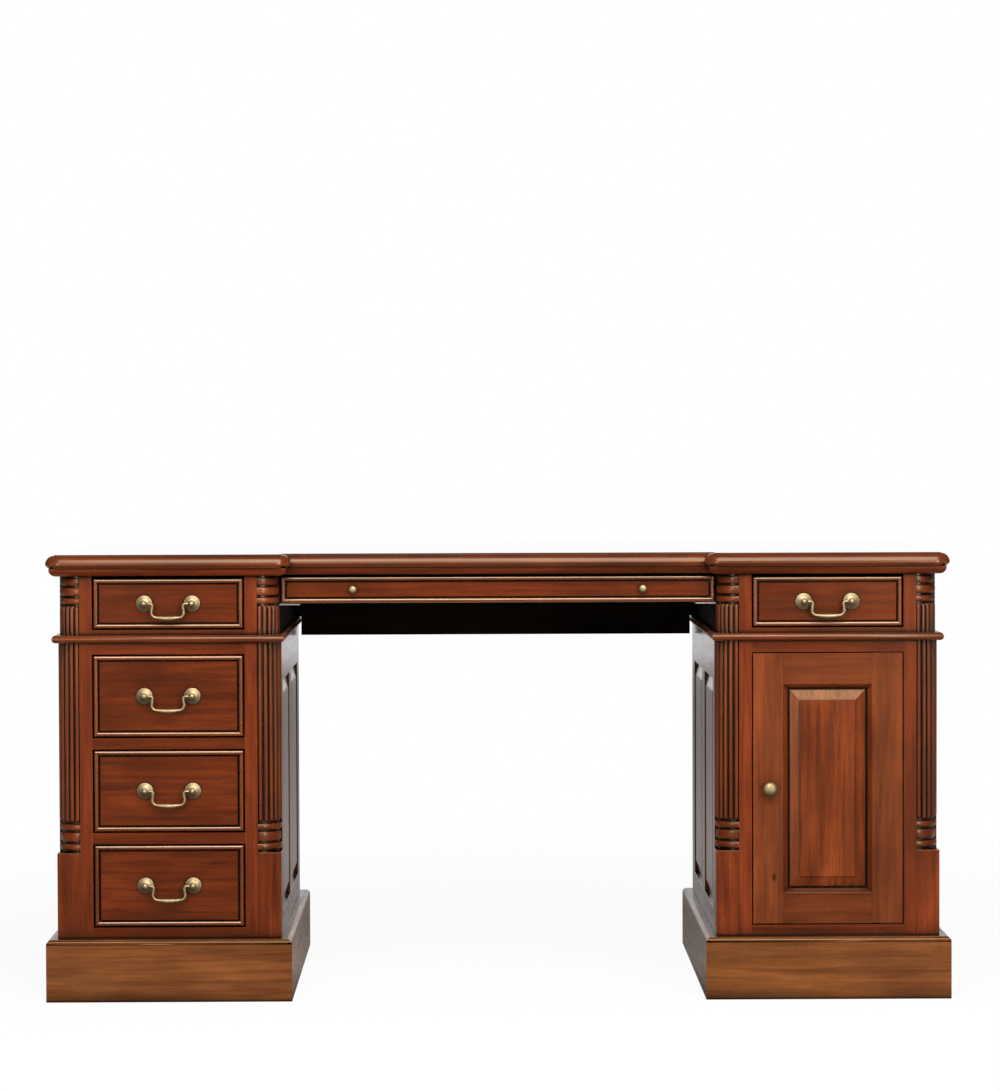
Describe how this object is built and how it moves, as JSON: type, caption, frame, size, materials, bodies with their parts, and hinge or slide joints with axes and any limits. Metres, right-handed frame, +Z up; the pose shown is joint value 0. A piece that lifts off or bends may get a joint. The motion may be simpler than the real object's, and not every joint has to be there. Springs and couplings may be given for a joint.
{
  "type": "pedestal desk",
  "caption": "Breakfront mahogany pedestal desk with reeded corner columns, beaded drawers on brass bail handles and a fielded cupboard door.",
  "frame": {"origin": "on the floor at the middle of the desk's footprint", "axes": "+X to the sitter's right along the width, -Y towards the sitter, +Z up"},
  "size_m": [1.6, 0.705, 0.79],
  "materials": {
    "mahogany": "satin lacquer over a dark glaze",
    "lining_wood": "plain oiled secondary wood",
    "antique_brass": "antique, darkened in the hollows",
    "zinc_steel": "bright zinc"
  },
  "bodies": {
    "carcass": {"centre_drawer_bearers": "zinc_steel", "cupboard_shelf": "lining_wood", "desk_top": "mahogany", "door_catch": "antique_brass", "door_stop": "lining_wood", "frieze_back": "mahogany", "frieze_columns": "mahogany", "frieze_drawer_runners": "lining_wood", "frieze_face_frames": "mahogany", "frieze_sides": "mahogany", "hinge_leaves": "antique_brass", "kneehole_apron": "mahogany", "left_back": "mahogany", "left_base_board": "lining_wood", "left_cap": "mahogany", "left_drawer_runners": "lining_wood", "left_face_frame": "mahogany", "left_inner_side_frame": "mahogany", "left_outer_side_frame": "mahogany", "left_plinth": "mahogany", "left_side_panels": "mahogany", "pedestal_columns": "mahogany", "right_back": "mahogany", "right_base_board": "lining_wood", "right_cap": "mahogany", "right_face_frame": "mahogany", "right_inner_side_frame": "mahogany", "right_outer_side_frame": "mahogany", "right_plinth": "mahogany", "right_side_panels": "mahogany", "shelf_bearers": "lining_wood", "top_frame": "mahogany"},
    "left_frieze_drawer": {"left_frieze_drawer_front": "mahogany", "left_frieze_drawer_box": "lining_wood", "left_frieze_drawer_posts": "antique_brass"},
    "left_frieze_drawer_bail": {"left_frieze_drawer_bail": "antique_brass"},
    "right_frieze_drawer": {"right_frieze_drawer_front": "mahogany", "right_frieze_drawer_box": "lining_wood", "right_frieze_drawer_posts": "antique_brass"},
    "right_frieze_drawer_bail": {"right_frieze_drawer_bail": "antique_brass"},
    "left_lower_drawer": {"left_lower_drawer_front": "mahogany", "left_lower_drawer_box": "lining_wood", "left_lower_drawer_posts": "antique_brass"},
    "left_lower_drawer_bail": {"left_lower_drawer_bail": "antique_brass"},
    "left_middle_drawer": {"left_middle_drawer_front": "mahogany", "left_middle_drawer_box": "lining_wood", "left_middle_drawer_posts": "antique_brass"},
    "left_middle_drawer_bail": {"left_middle_drawer_bail": "antique_brass"},
    "left_upper_drawer": {"left_upper_drawer_front": "mahogany", "left_upper_drawer_box": "lining_wood", "left_upper_drawer_posts": "antique_brass"},
    "left_upper_drawer_bail": {"left_upper_drawer_bail": "antique_brass"},
    "centre_drawer": {"centre_drawer_front": "mahogany", "centre_drawer_box": "lining_wood", "centre_drawer_knobs": "antique_brass"},
    "door": {"door_frame": "mahogany", "door_panel": "mahogany", "door_knob": "antique_brass", "door_hinge_plates": "antique_brass"}
  },
  "joints": [
    {"name": "left_frieze_drawer_slide", "type": "slide", "parent": "carcass", "child": "left_frieze_drawer", "axis": [0, -1, 0], "range_m": [0, 0.4]},
    {"name": "left_frieze_drawer_bail_swing", "type": "hinge", "parent": "left_frieze_drawer", "child": "left_frieze_drawer_bail", "pos_m": [-0.583, -0.3388, 0.7035], "axis": [-1, 0, 0], "range_deg": [0, 95]},
    {"name": "right_frieze_drawer_slide", "type": "slide", "parent": "carcass", "child": "right_frieze_drawer", "axis": [0, -1, 0], "range_m": [0, 0.4]},
    {"name": "right_frieze_drawer_bail_swing", "type": "hinge", "parent": "right_frieze_drawer", "child": "right_frieze_drawer_bail", "pos_m": [0.583, -0.3388, 0.7035], "axis": [-1, 0, 0], "range_deg": [0, 95]},
    {"name": "left_lower_drawer_slide", "type": "slide", "parent": "carcass", "child": "left_lower_drawer", "axis": [0, -1, 0], "range_m": [0, 0.4]},
    {"name": "left_lower_drawer_bail_swing", "type": "hinge", "parent": "left_lower_drawer", "child": "left_lower_drawer_bail", "pos_m": [-0.583, -0.3418, 0.204], "axis": [-1, 0, 0], "range_deg": [0, 95]},
    {"name": "left_middle_drawer_slide", "type": "slide", "parent": "carcass", "child": "left_middle_drawer", "axis": [0, -1, 0], "range_m": [0, 0.4]},
    {"name": "left_middle_drawer_bail_swing", "type": "hinge", "parent": "left_middle_drawer", "child": "left_middle_drawer_bail", "pos_m": [-0.583, -0.3418, 0.372], "axis": [-1, 0, 0], "range_deg": [0, 95]},
    {"name": "left_upper_drawer_slide", "type": "slide", "parent": "carcass", "child": "left_upper_drawer", "axis": [0, -1, 0], "range_m": [0, 0.4]},
    {"name": "left_upper_drawer_bail_swing", "type": "hinge", "parent": "left_upper_drawer", "child": "left_upper_drawer_bail", "pos_m": [-0.583, -0.3418, 0.54], "axis": [-1, 0, 0], "range_deg": [0, 95]},
    {"name": "centre_drawer_slide", "type": "slide", "parent": "carcass", "child": "centre_drawer", "axis": [0, -1, 0], "range_m": [0, 0.3]},
    {"name": "door_swing", "type": "hinge", "parent": "carcass", "child": "door", "pos_m": [0.7105, -0.327, 0.372], "axis": [0, 0, 1], "range_deg": [0, 110]}
  ]
}
